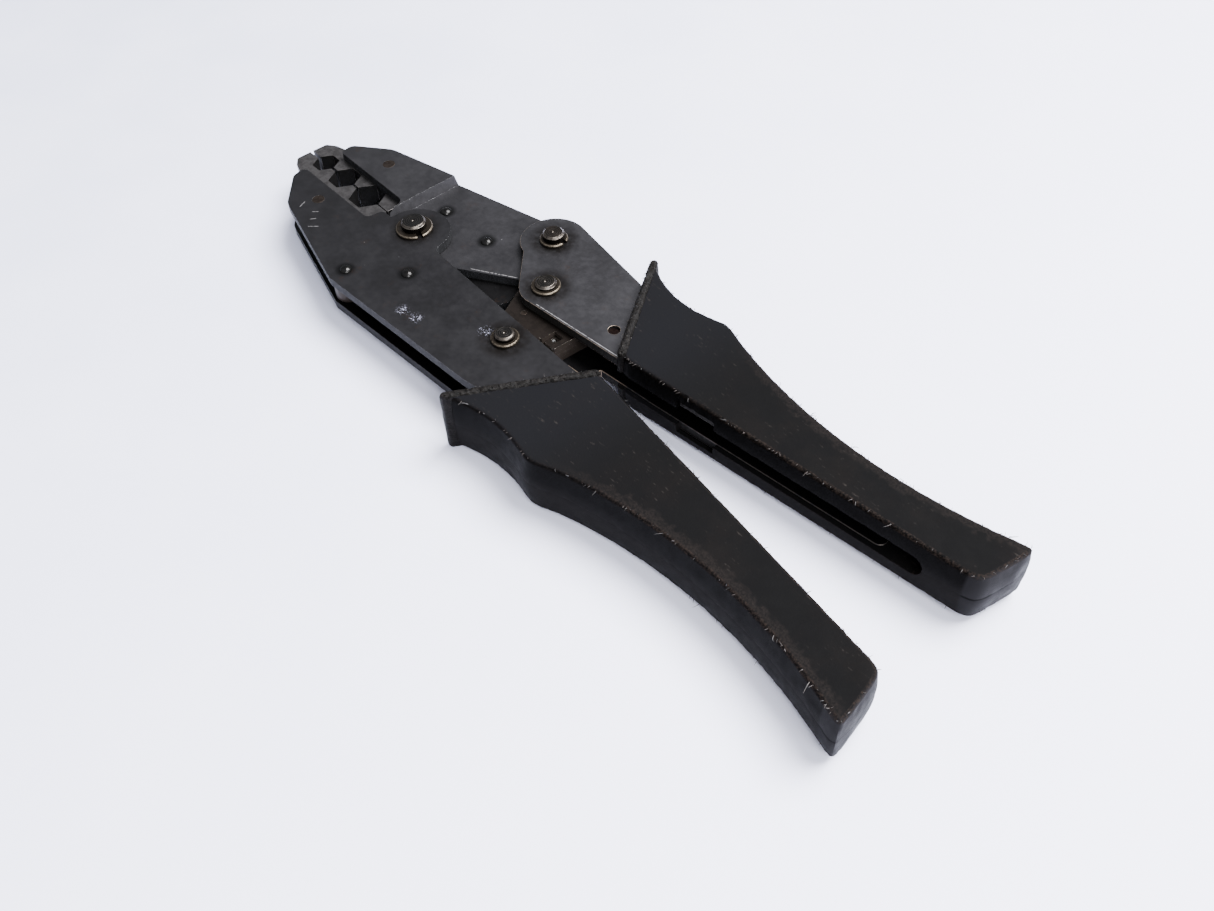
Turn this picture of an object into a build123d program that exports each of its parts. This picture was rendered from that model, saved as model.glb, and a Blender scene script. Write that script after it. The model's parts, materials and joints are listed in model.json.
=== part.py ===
from build123d import *
from math import cos, radians, sin
import os

# Hand ratchet crimping tool lying flat, with its jaws towards -X and its two handles towards +X.
# The fixed handle is on the -Y side and the moving one on the +Y side. All sizes are millimetres.
# Everything is drawn about the main pivot at (0, 0) and then moved to the part's own frame, whose
# origin is the middle of the footprint on the surface that the tool lies on.

# Places of the pivots, about the main pivot.
JAW_PIN_AT = (29.6, 24.1)
LINK_PIN_AT = (42.6, 10.6)
ANCHOR_PIN_AT = (50.4, -8.9)
PAWL_PIN_AT = (66.4, 12.5)

# The main pivot's place in the part's own frame.
PIVOT_X = -60.93
PIVOT_Y = -0.79

# Sheet thicknesses and levels.
PLATE = 2.5
GAP = 5.4
MID_Z = 9.0
INNER = GAP / 2
OUTER = INNER + PLATE
LAMINATION = 1.3
LAMINATIONS = 4

# Crimp dies.
HEX_RADII = (3.55, 4.45, 5.2)
LAST_HEX_X = -24.0
HEX_WEB = 2.0
DIE_NOSE_X = -53.4
DIE_HEEL_X = -14.2
DIE_FACE_Y = 0.2
DIE_PIN_X = -29.3
FIXED_DIE_PIN_Y = 12.0
MOVING_DIE_PIN_Y = 11.0
DIE_PIN_R = 1.75
FIXED_DIE_FOOT = 6.3
MOVING_DIE_FOOT = 3.7
CLOSED_GAP = 0.06
REST_OPENING = 1.0

# Pins: shank radius, ring radius, height above the plate, height of the lower head.
MAIN_PIN = (3.35, 5.0, 2.8, MID_Z - OUTER)
JAW_PIN = (2.9, 3.8, 2.7, 2.2)
LINK_PIN = (2.8, 3.85, 1.9, 2.2)
ANCHOR_PIN = (2.55, 3.6, 2.2, 2.2)
RING = 0.9
RING_CHAMFER = 0.3
RING_GAP = 1.5
PIN_CHAMFER = 0.55
HEAD_CHAMFER = 0.5
DIMPLE_R = 0.4
RUNNING = 0.05

# The lower jaw and handle plates reach a little further than the upper ones, towards the link.
JAW_TAB = ((19.0, 0.5, 0), (23.5, -0.2, 2), (34.8, 0.2, 1), (35.6, 3.5, 1), (33.4, 10.0, 0), (30.0, 12.0, 0))
HANDLE_TAB = ((56.0, 7.0, 0), (59.3, 0.9, 1.5), (66.6, 1.4, 1.5), (69.5, 8.0, 0))

# Rivets.
RIVET_R = 1.5
DOME_R = 1.7
DOME_H = 0.95
FRAME_RIVETS = ((1.2, -22.9), (13.8, -12.1))
JAW_RIVETS = ((-3.1, 12.4), (14.9, 12.6))
SPACER_R = 4.0

# Toggle link and ratchet.
LINK_EYE_R = 7.6
ANCHOR_EYE_R = 5.6
PIN_SLOT = 2.2
PIN_SLOT_PLAY = 0.4
PIN_SLOT_TURN = -22.0
LINK_RIVETS = ((43.9, 2.0), (51.0, 19.5), (54.0, 7.0))
LINK_RIVET_R = 0.8
TEETH = 10
TOOTH_PITCH = 6.2
FIRST_TOOTH = -6.0
TIP_R = 17.6
ROOT_R = 16.1
PAWL_GAP = 0.5
PAWL_PIN_R = 1.55
PAWL = 5.0

# Springs.
WIRE_R = 0.3
COIL_R = 1.5
RING_R = 1.9
SPRING_POST_R = 1.2
RETURN_HOOK_AT = (56.2, 0.4)
RETURN_POST_AT = (60.5, -17.0)
PAWL_HOOK_AT = (73.3, 13.0)
PAWL_POST_AT = (86.0, 14.0)

# Grips: half thickness at the collar end and at the tip, and the collar rib.
GRIP_HALF_COLLAR = 8.5
GRIP_HALF_TIP = 7.2
RIB_HALF = MID_Z
MIRROR_AT = (76.0, 1.7)
MIRROR_TURN = -1.2

# The two grips differ a little at their front ends. Both are drawn on the fixed handle's side: the collar's
# outer corner, middle of the scoop, knee, start and middle of the back, collar's inner corner.
FIXED_GRIP = ((58.3, -33.0), (73.0, -29.4), (86.0, -31.3), (93.5, -28.2), (130.0, -22.6), (76.2, -1.5))
MOVING_GRIP = ((56.6, -31.0), (71.5, -26.2), (85.0, -29.1), (91.5, -27.0), (130.0, -21.9), (76.5, -2.1))
FIXED_RIB = ((56.2, -33.6), (59.0, -34.0), (78.8, -1.8), (76.0, -1.3))
MOVING_RIB = ((55.1, -30.6), (57.2, -32.1), (77.7, -2.8), (75.6, -1.3))


def rounded(corners):
    """Flat face with straight sides; each corner is (x, y, radius)."""
    points = [(x, y) for x, y, _ in corners]
    radii = [radius for _, _, radius in corners]
    return make_face(FilletPolyline(*points, radius=radii, close=True))


def disc(centre, radius):
    return Pos(centre[0], centre[1]) * Circle(radius)


def slab(face, low, high):
    """Upright prism between two heights above the middle plane."""
    return extrude(Pos(0, 0, MID_Z + low) * face, high - low, dir=(0, 0, 1))


def rod(centre, radius, low, high):
    return slab(disc(centre, radius), low, high)


def below(plate):
    """A plate's mirror image in the middle plane."""
    return mirror(plate, Plane.XY.offset(MID_Z))


def opened(shape):
    """Turned about the main pivot from the closed jaws to the rest pose."""
    return Rot(0, 0, -REST_OPENING) * shape


def to_moving_side(shape):
    """Mirror image of a piece of the fixed handle, in the moving handle's place."""
    across = mirror(shape, Plane.XZ.offset(-MIRROR_AT[1]))
    at_axis = Pos(MIRROR_AT[0], MIRROR_AT[1])
    return at_axis * Rot(0, 0, MIRROR_TURN) * at_axis.inverse() * across


# ---- Handle tangs and grips, drawn for the fixed handle ----

def tang_face():
    """Tail of a handle plate, inside its grip."""
    return rounded([
        (60.0, -3.4, 0),
        (84.0, -4.0, 20),
        (150.0, -12.4, 2),
        (149.5, -18.6, 2),
        (95.0, -19.4, 20),
        (60.0, -23.5, 0),
    ])


def grip_face(outline):
    """Outline of a grip at its parting plane."""
    collar_outer, scoop, knee, back_start, back_middle, collar_inner = outline
    tip_outer = (175.2, -29.6)
    tip_inner = (172.6, -14.1)
    return make_face([
        ThreePointArc(collar_outer, scoop, knee),
        Line(knee, back_start),
        ThreePointArc(back_start, back_middle, tip_outer),
        Line(tip_outer, tip_inner),
        Line(tip_inner, collar_inner),
        Line(collar_inner, collar_outer),
    ])


def grip_side_face():
    """Side profile of a grip in the XZ plane: thicker at the collar than at the tip."""
    collar_x = 50.0
    tip_x = 178.0
    return make_face(Polyline(
        (collar_x, MID_Z - GRIP_HALF_COLLAR),
        (tip_x, MID_Z - GRIP_HALF_TIP),
        (tip_x, MID_Z + GRIP_HALF_TIP),
        (collar_x, MID_Z + GRIP_HALF_COLLAR),
        close=True,
    ))


def collar_rib(corners):
    """Raised rib that runs round the front end of a grip."""
    radii = (1.0, 1.0, 1.2, 1.2)
    rib = rounded([(*corner, radius) for corner, radius in zip(corners, radii)])
    return slab(rib, -RIB_HALF, RIB_HALF)


def grip_body(outline, rib_corners):
    """Plastic grip with a collar rib, a slot along its inner side and a window in the slot's lips."""
    half_depth = 40.0
    side = extrude(Plane.XZ * grip_side_face(), half_depth, both=True)
    body = slab(grip_face(outline), -RIB_HALF, RIB_HALF) & side
    body = fillet(body.edges().filter_by(Axis.Z).group_by(Axis.X)[-1], 2.0)
    body += collar_rib(rib_corners)
    slot = rounded([
        (50.0, 6.0, 0),
        (160.5, 6.0, 0),
        (160.5, -17.0, 2.6),
        (95.0, -17.5, 5),
        (70.0, -21.0, 0),
        (50.0, -24.0, 0),
    ])
    window = rounded([(94.0, 0.0, 0), (105.0, 0.0, 0), (105.0, -6.7, 0), (94.0, -5.3, 0)])
    return body - slab(slot, -INNER, INNER) - slab(window, -OUTER, OUTER)


def with_pockets(body, plate_face):
    """A grip with the pockets that its two handle plates fill."""
    return body - slab(plate_face, INNER, OUTER) - slab(plate_face, -OUTER, -INNER)


# ---- Fixed frame ----

def frame_plate_face():
    """Head of the fixed frame, its pivot boss and its tang."""
    head = rounded([
        (-44.6, -6.6, 1.6),
        (-13.1, -6.6, 1.6),
        (-12.4, -1.8, 1.3),
        (0.0, -1.5, 0),
        (12.0, -1.4, 0),
        (66.0, -3.6, 0),
        (84.0, -4.0, 0),
        (84.0, -20.6, 0),
        (54.3, -24.7, 0),
        (1.1, -27.8, 3),
        (-33.8, -19.0, 5),
        (-43.6, -11.0, 2.5),
    ])
    boss = disc((1.0, -0.5), 9.5)
    return head + boss + tang_face()


def frame_plate():
    holes = disc((0, 0), MAIN_PIN[0]) + disc(ANCHOR_PIN_AT, ANCHOR_PIN[0])
    holes += disc((DIE_PIN_X, DIE_FACE_Y - FIXED_DIE_PIN_Y), DIE_PIN_R)
    for centre in FRAME_RIVETS:
        holes += disc(centre, RIVET_R)
    plate = slab(frame_plate_face() - holes, INNER, OUTER)
    corner_at = Vector(10.5, -1.4, MID_Z + (INNER + OUTER) / 2)
    corner = plate.edges().filter_by(Axis.Z).sort_by_distance(corner_at)[0]
    return fillet(corner, 2.2)


def die_face(pin_y):
    """Half of the die pair on the +Y side of the parting line, with three half hexagons."""
    block = rounded([
        (DIE_NOSE_X, 0, 0),
        (DIE_HEEL_X, 0, 0.4),
        (DIE_HEEL_X, 14.5, 1),
        (-33.0, 14.5, 2),
        (-46.2, 7.6, 1),
        (-50.8, 6.3, 1.5),
        (-53.4, 4.4, 1),
    ])
    x = LAST_HEX_X
    for i in reversed(range(len(HEX_RADII))):
        radius = HEX_RADII[i]
        block -= Pos(x, 0) * RegularPolygon(radius, 6)
        if i > 0:
            x -= radius + HEX_WEB + HEX_RADII[i - 1]
    return block - disc((DIE_PIN_X, pin_y), DIE_PIN_R)


def die(pin_y, foot):
    """Die between the plates, with a foot by the parting line that reaches down beside the lower plate."""
    face = die_face(pin_y)
    heel_gap = 0.4
    length = DIE_HEEL_X - heel_gap - DIE_NOSE_X
    foot_area = Pos(DIE_NOSE_X + length / 2, foot / 2) * Rectangle(length, foot)
    return slab(face, -INNER, INNER) + slab(face & foot_area, -OUTER, -INNER)


def fixed_die():
    return Pos(0, DIE_FACE_Y) * mirror(die(FIXED_DIE_PIN_Y, FIXED_DIE_FOOT), Plane.XZ)


def fixed_die_pin():
    return rod((DIE_PIN_X, DIE_FACE_Y - FIXED_DIE_PIN_Y), DIE_PIN_R, -OUTER, OUTER)


def round_pin(centre, sizes):
    """Headed pin through both plates: chamfered top with a centre dimple, flat lower head."""
    shank_r, head_r, above, below = sizes
    shank = rod(centre, shank_r, -OUTER, OUTER + above)
    top_edge = shank.edges().filter_by(GeomType.CIRCLE).sort_by(Axis.Z)[-1]
    shank = chamfer(top_edge, PIN_CHAMFER)
    head = rod(centre, head_r, -OUTER - below, -OUTER)
    head = chamfer(head.edges().filter_by(GeomType.CIRCLE).sort_by(Axis.Z)[0], HEAD_CHAMFER)
    top_z = MID_Z + OUTER + above
    dimple = Pos(centre[0], centre[1], top_z) * Sphere(DIMPLE_R)
    return shank + head - dimple


def pin_ring(centre, sizes, gap_angle):
    """Retaining ring lying on the upper plate round a pin, with the gap that lets it open."""
    shank_r, ring_r = sizes[0], sizes[1]
    ring = slab(disc(centre, ring_r) - disc(centre, shank_r), OUTER, OUTER + RING)
    outer_edge = ring.edges().filter_by(GeomType.CIRCLE).group_by(Axis.Z)[-1].sort_by(SortBy.LENGTH)[-1]
    ring = chamfer(outer_edge, RING_CHAMFER)
    gap = Pos(centre[0], centre[1]) * Rot(0, 0, gap_angle) * Pos(ring_r, 0) * Rectangle(ring_r, RING_GAP)
    return ring - slab(gap, OUTER, OUTER + RING)


def dome_rivet(centre, half_grip):
    """Rivet with a domed head at each end, half_grip from the middle plane."""
    shank = rod(centre, RIVET_R, -half_grip, half_grip)
    sphere_r = (DOME_R**2 + DOME_H**2) / (2 * DOME_H)
    sphere_z = MID_Z + half_grip + DOME_H - sphere_r
    dome = Pos(centre[0], centre[1], sphere_z) * Sphere(sphere_r)
    dome &= rod(centre, DOME_R, half_grip, half_grip + DOME_H)
    return shank + dome + mirror(dome, Plane.XY.offset(MID_Z))


def frame_rivets():
    return Compound([dome_rivet(centre, OUTER) for centre in FRAME_RIVETS])


def frame_spacers():
    """Tubes round the rivets that hold the two frame plates apart."""
    tubes = []
    for centre in FRAME_RIVETS:
        tubes.append(slab(disc(centre, SPACER_R) - disc(centre, RIVET_R), -INNER, INNER))
    return Compound(tubes)


def spring_post(centre):
    return rod(centre, SPRING_POST_R, -INNER, INNER)


# ---- Moving jaw ----

def jaw_plate_face():
    """Plan outline of a jaw plate, front and rear together."""
    boss_r = 9.5
    lower = rounded([
        (-43.4, 5.1, 1),
        (-12.3, 4.8, 2.5),
        (-11.2, -0.4, 0),
        (-6.0, -7.3, 0),
        (4.98, -8.09, 0),
        (33.5, 9.45, 2),
        (37.6, 24.0, 0),
        (20.0, 29.3, 0),
        (-34.2, 16.7, 6),
        (-44.4, 9.0, 2.5),
    ])
    return lower + disc((0, 0), boss_r) + disc(JAW_PIN_AT, 8.0)


def jaw_side_face():
    """Side profile in the XZ plane: flush with the frame in front, between its plates behind."""
    step_x = -11.0
    half_step = 0.6
    inner_step = 1.6
    return make_face(Polyline(
        (-60.0, OUTER),
        (step_x - half_step, OUTER),
        (step_x + half_step, PLATE),
        (50.0, PLATE),
        (50.0, 0.0),
        (step_x - inner_step, 0.0),
        (step_x - inner_step - 2 * half_step, INNER),
        (-60.0, INNER),
        close=True,
    ))


def jaw_plate(plan):
    holes = disc((0, 0), MAIN_PIN[0] + RUNNING) + disc(JAW_PIN_AT, JAW_PIN[0] + RUNNING)
    for centre in JAW_RIVETS:
        holes += disc(centre, RIVET_R)
    profile = extrude(Plane.XZ * Pos(0, MID_Z) * jaw_side_face(), 60, both=True)
    plate = slab(plan - holes, 0, OUTER) & profile
    return plate - moving_die_pin()


def moving_die():
    return opened(Pos(0, DIE_FACE_Y + CLOSED_GAP) * die(MOVING_DIE_PIN_Y, MOVING_DIE_FOOT))


def moving_die_pin():
    centre = (DIE_PIN_X, DIE_FACE_Y + CLOSED_GAP + MOVING_DIE_PIN_Y)
    return opened(rod(centre, DIE_PIN_R, -OUTER, OUTER))


def jaw_rivets():
    return Compound([dome_rivet(centre, PLATE) for centre in JAW_RIVETS])


# ---- Moving handle ----

def handle_plate_face():
    """Cheek of the moving handle round the jaw pin and the link pin, with its tang."""
    cheek = rounded([
        (20.9, 21.8, 0),
        (37.9, 5.4, 0),
        (43.6, 3.8, 0),
        (84.1, 7.3, 0),
        (84.6, 24.6, 0),
        (31.3, 32.9, 0),
    ])
    eyes = disc(JAW_PIN_AT, 9.0) + disc(LINK_PIN_AT, 6.9)
    return cheek + eyes + to_moving_side(tang_face())


def handle_plate(plan):
    holes = disc(JAW_PIN_AT, JAW_PIN[0]) + disc(LINK_PIN_AT, LINK_PIN[0]) + disc(PAWL_PIN_AT, PAWL_PIN_R)
    return slab(plan - holes, INNER, OUTER)


def pawl_pin():
    recess = 0.7
    return rod(PAWL_PIN_AT, PAWL_PIN_R, -OUTER + recess, OUTER - recess)


# ---- Toggle link with its ratchet ----

def hook_hole(hook_at, post_at):
    """Hole that the upright hook of a spring passes through, on the far side from its post."""
    along = Vector(post_at[0] - hook_at[0], post_at[1] - hook_at[1]).normalized()
    hole_radius = 0.8
    behind_hook = RING_R - 0.25
    centre = Vector(hook_at[0], hook_at[1]) - along * behind_hook
    return disc((centre.X, centre.Y), hole_radius)


def around_link_pin(radius, angle):
    turn = radians(angle)
    return LINK_PIN_AT[0] + radius * cos(turn), LINK_PIN_AT[1] + radius * sin(turn)


def link_face():
    """Two eyes joined by a web, and a toothed sector centred on the link pin."""
    eyes = disc(LINK_PIN_AT, LINK_EYE_R).edges() + disc(ANCHOR_PIN_AT, ANCHOR_EYE_R).edges()
    web = make_hull(eyes)
    last_tooth = FIRST_TOOTH + TEETH * TOOTH_PITCH
    outline = [LINK_PIN_AT, (53.5, -0.9), (59.3, -0.9), around_link_pin(TIP_R, FIRST_TOOTH - 7)]
    for i in range(TEETH):
        start = FIRST_TOOTH + i * TOOTH_PITCH
        outline.append(around_link_pin(TIP_R, start))
        outline.append(around_link_pin(ROOT_R, start + TOOTH_PITCH / 2))
    outline.append(around_link_pin(TIP_R, last_tooth))
    outline.append(around_link_pin(TIP_R, last_tooth + 4))
    outline.append(around_link_pin(LINK_EYE_R - 0.5, last_tooth + 30))
    sector = make_face(Polyline(*outline, close=True))
    pin_slot = SlotCenterToCenter(PIN_SLOT, 2 * (LINK_PIN[0] + PIN_SLOT_PLAY), rotation=PIN_SLOT_TURN)
    face = web + sector - Pos(*LINK_PIN_AT) * pin_slot
    face -= disc(ANCHOR_PIN_AT, ANCHOR_PIN[0] + RUNNING)
    for centre in LINK_RIVETS:
        face -= disc(centre, LINK_RIVET_R)
    return face


def link_plate(index):
    """One lamination; the outer ones leave room for the hook of the return spring."""
    low = (index - LAMINATIONS / 2) * LAMINATION
    is_outer = index in (0, LAMINATIONS - 1)
    notch_top = 3.3 if is_outer else -0.4
    notch_low = -3.0
    notch_width = 3.4
    notch_at = Pos(RETURN_HOOK_AT[0], (notch_low + notch_top) / 2)
    notch = notch_at * Rectangle(notch_width, notch_top - notch_low)
    hole = hook_hole(RETURN_HOOK_AT, RETURN_POST_AT)
    return slab(link_face() - notch - hole, low, low + LAMINATION)


def link_rivets():
    half = LAMINATIONS * LAMINATION / 2
    return Compound([rod(centre, LINK_RIVET_R, -half, half) for centre in LINK_RIVETS])


def pawl():
    """Two-way pawl: its nose points at the link pin and its tail takes a spring hook."""
    x, y = PAWL_PIN_AT
    nose_angle = 4.6
    nose = around_link_pin(TIP_R + PAWL_GAP, nose_angle)
    eye_r = 3.3
    half = PAWL / 2
    head = rounded([(nose[0], nose[1], 0.4), (x + 1.0, y - 3.2, 1), (x + 1.0, y + 3.2, 1)])
    body = slab(head + disc(PAWL_PIN_AT, eye_r), -half, half)
    tail = rounded([(x, y - 1.5, 0), (x + 6.4, y - 1.0, 0.9), (x + 6.4, y + 2.0, 0.9), (x, y + 1.5, 0)])
    body += slab(tail, -LAMINATION, LAMINATION)
    body -= rod(PAWL_PIN_AT, PAWL_PIN_R + RUNNING, -half, half)
    return body - slab(hook_hole(PAWL_HOOK_AT, PAWL_POST_AT), -LAMINATION, LAMINATION)


# ---- Springs ----

def tension_spring(hook_at, post_at):
    """Closed solid of a tension spring: a coil with an upright hook and a flat loop round a post."""
    start = Vector(hook_at[0], hook_at[1], MID_Z)
    end = Vector(post_at[0], post_at[1], MID_Z)
    along = (end - start).normalized()
    hook_ring = Plane(start, x_dir=along, z_dir=along.cross(Vector(0, 0, 1))) * Torus(RING_R, WIRE_R)
    loop_play = 0.15
    loop_r = SPRING_POST_R + WIRE_R + loop_play
    post_ring = Plane(end) * Torus(loop_r, WIRE_R)
    neck_length = 0.5
    at_start = (Align.CENTER, Align.CENTER, Align.MIN)
    neck = Plane(start + along * RING_R, z_dir=along) * Cylinder(WIRE_R, neck_length, align=at_start)
    coil_start = start + along * (RING_R + WIRE_R)
    overlap = 0.1
    coil_length = (end - coil_start).length - loop_r + overlap
    coil = Plane(coil_start, z_dir=along) * Cylinder(COIL_R + WIRE_R, coil_length, align=at_start)
    return hook_ring + neck + coil + post_ring


# ---- Assembly ----

FIXED_BODY = grip_body(FIXED_GRIP, FIXED_RIB)
MOVING_BODY = to_moving_side(grip_body(MOVING_GRIP, MOVING_RIB))

NODES = {
    "frame_plate_upper": frame_plate(),
    "frame_plate_lower": below(frame_plate()),
    "frame_spacers": frame_spacers(),
    "frame_rivets": frame_rivets(),
    "fixed_die": fixed_die(),
    "fixed_die_pin": fixed_die_pin(),
    "main_pivot_pin": round_pin((0, 0), MAIN_PIN),
    "main_pivot_ring": pin_ring((0, 0), MAIN_PIN, -16),
    "anchor_pin": round_pin(ANCHOR_PIN_AT, ANCHOR_PIN),
    "anchor_pin_ring": pin_ring(ANCHOR_PIN_AT, ANCHOR_PIN, 140),
    "return_spring_post": spring_post(RETURN_POST_AT),
    "return_spring": tension_spring(RETURN_HOOK_AT, RETURN_POST_AT),
    "fixed_grip": with_pockets(FIXED_BODY, frame_plate_face()),
    "jaw_plate_upper": jaw_plate(jaw_plate_face()),
    "jaw_plate_lower": below(jaw_plate(jaw_plate_face() + rounded(JAW_TAB))),
    "moving_die": moving_die(),
    "moving_die_pin": moving_die_pin(),
    "jaw_rivets": jaw_rivets(),
    "handle_plate_upper": handle_plate(handle_plate_face()),
    "handle_plate_lower": below(handle_plate(handle_plate_face() + rounded(HANDLE_TAB))),
    "jaw_pin": round_pin(JAW_PIN_AT, JAW_PIN),
    "jaw_pin_ring": pin_ring(JAW_PIN_AT, JAW_PIN, 13),
    "link_pin": round_pin(LINK_PIN_AT, LINK_PIN),
    "link_pin_ring": pin_ring(LINK_PIN_AT, LINK_PIN, 150),
    "pawl_pin": pawl_pin(),
    "pawl_spring_post": spring_post(PAWL_POST_AT),
    "pawl_spring": tension_spring(PAWL_HOOK_AT, PAWL_POST_AT),
    "moving_grip": with_pockets(MOVING_BODY, handle_plate_face()),
    "link_rivets": link_rivets(),
    "pawl": pawl(),
}
for number in range(LAMINATIONS):
    NODES[f"link_plate_{number + 1}"] = link_plate(number)

os.makedirs("parts", exist_ok=True)
for name, shape in NODES.items():
    export_step(Pos(PIVOT_X, PIVOT_Y) * shape, f"parts/{name}.step")
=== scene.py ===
import json
from math import atan2, cos, pi, radians, sin, sqrt
from random import Random

import bmesh
import bpy
from mathutils import Matrix, Vector, noise


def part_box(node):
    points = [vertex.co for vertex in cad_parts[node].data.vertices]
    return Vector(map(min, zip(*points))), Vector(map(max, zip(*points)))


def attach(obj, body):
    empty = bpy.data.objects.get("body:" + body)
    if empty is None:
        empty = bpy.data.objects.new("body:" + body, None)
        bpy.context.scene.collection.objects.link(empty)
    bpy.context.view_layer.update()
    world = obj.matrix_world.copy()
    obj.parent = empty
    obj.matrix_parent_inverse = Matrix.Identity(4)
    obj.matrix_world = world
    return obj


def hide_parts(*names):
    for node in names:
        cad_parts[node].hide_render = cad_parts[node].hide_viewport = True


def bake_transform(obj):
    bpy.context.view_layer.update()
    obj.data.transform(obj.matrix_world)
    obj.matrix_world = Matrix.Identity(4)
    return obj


# Ratcheting crimping tool. Lengths are millimetres about the main pivot in the plane of the plates,
# and heights are millimetres above the table; at() turns them into the frame's metres.
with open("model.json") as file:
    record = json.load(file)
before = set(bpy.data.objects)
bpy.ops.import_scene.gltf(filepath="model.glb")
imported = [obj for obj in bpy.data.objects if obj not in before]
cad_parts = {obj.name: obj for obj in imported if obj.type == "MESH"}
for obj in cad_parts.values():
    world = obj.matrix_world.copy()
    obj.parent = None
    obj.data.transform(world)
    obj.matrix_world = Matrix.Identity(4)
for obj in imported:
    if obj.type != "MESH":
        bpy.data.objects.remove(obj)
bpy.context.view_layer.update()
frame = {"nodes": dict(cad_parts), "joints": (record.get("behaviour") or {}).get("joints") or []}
NODES = frame["nodes"]
JOINTS = {joint["name"]: joint for joint in frame["joints"]}
MM = 0.001
PIVOT = Vector(JOINTS["jaw_pivot"]["pos_m"])
MID_Z = PIVOT.z / MM


def at(x, y, z=MID_Z):
    return Vector((PIVOT.x + x * MM, PIVOT.y + y * MM, z * MM))


def centre_of(node):
    low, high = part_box(node)
    return (low + high) / 2


# ---- Camera, floor and light ----

AZIMUTH = radians(50.46)
ELEVATION = radians(49.25)
ROLL = radians(-2.77)
DISTANCE = 0.2633
LENS = 35.09
AIM_FROM_PIVOT = Vector((0.09553, -0.01572, 0.0052))


def make_camera():
    """Camera above the handles, looking down towards the jaws."""
    back = Vector((sin(AZIMUTH) * cos(ELEVATION), -cos(AZIMUTH) * cos(ELEVATION), sin(ELEVATION)))
    level_right = Vector((cos(AZIMUTH), sin(AZIMUTH), 0))
    level_up = back.cross(level_right)
    right = level_right * cos(ROLL) + level_up * sin(ROLL)
    up = back.cross(right)
    data = bpy.data.cameras.new("camera")
    data.lens = LENS
    data.sensor_width = 36
    data.clip_start = 0.01
    data.clip_end = 10
    camera = bpy.data.objects.new("camera", data)
    camera.matrix_world = Matrix((
        (right.x, up.x, back.x, 0),
        (right.y, up.y, back.y, 0),
        (right.z, up.z, back.z, 0),
        (0, 0, 0, 1),
    ))
    camera.location = PIVOT + AIM_FROM_PIVOT + back * DISTANCE
    bpy.context.scene.collection.objects.link(camera)
    bpy.context.scene.camera = camera


# Name, place in metres, diameter, power in watts and colour of each lamp.
LAMPS = (
    ("lamp_above", (0.25, 0.55, 1.1), 0.9, 98.0, (0.96, 0.97, 1.0)),
    ("lamp_right", (0.9, -0.3, 0.8), 0.7, 20.0, (0.95, 0.97, 1.0)),
)
SKY_AT_HORIZON = (0.12, 0.12, 0.13, 1)
SKY_OVERHEAD = (0.88, 0.9, 0.97, 1)
SKY_PALE_FROM = 0.7
SKY_STRENGTH = 1.15
# Sockets of a Mix node that mixes colours.
MIX_SHARE, MIX_A, MIX_B, MIX_RESULT = 0, 6, 7, 2


def add_lamp(name, place, size, power, colour):
    """Round soft lamp that shines at the middle of the frame."""
    data = bpy.data.lights.new(name, "AREA")
    data.shape = "DISK"
    data.size = size
    data.energy = power
    data.color = colour
    lamp = bpy.data.objects.new(name, data)
    lamp.location = place
    lamp.rotation_euler = (-Vector(place)).to_track_quat("-Z", "Y").to_euler()
    bpy.context.scene.collection.objects.link(lamp)


def make_light():
    """Surroundings that are pale overhead and dim at the horizon, and soft lamps."""
    world = bpy.data.worlds.new("studio")
    bpy.context.scene.world = world
    world.use_nodes = True
    tree = world.node_tree
    direction = tree.nodes.new("ShaderNodeTexCoord").outputs["Generated"]
    split = tree.nodes.new("ShaderNodeSeparateXYZ")
    height = tree.nodes.new("ShaderNodeMapRange")
    height.inputs["From Max"].default_value = SKY_PALE_FROM
    sky = tree.nodes.new("ShaderNodeMix")
    sky.data_type = "RGBA"
    sky.inputs[MIX_A].default_value = SKY_AT_HORIZON
    sky.inputs[MIX_B].default_value = SKY_OVERHEAD
    background = tree.nodes["Background"]
    background.inputs["Strength"].default_value = SKY_STRENGTH
    tree.links.new(direction, split.inputs[0])
    tree.links.new(split.outputs[2], height.inputs["Value"])
    tree.links.new(height.outputs["Result"], sky.inputs[MIX_SHARE])
    tree.links.new(sky.outputs[MIX_RESULT], background.inputs["Color"])
    for lamp in LAMPS:
        add_lamp(*lamp)


# ---- Finishes ----

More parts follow.
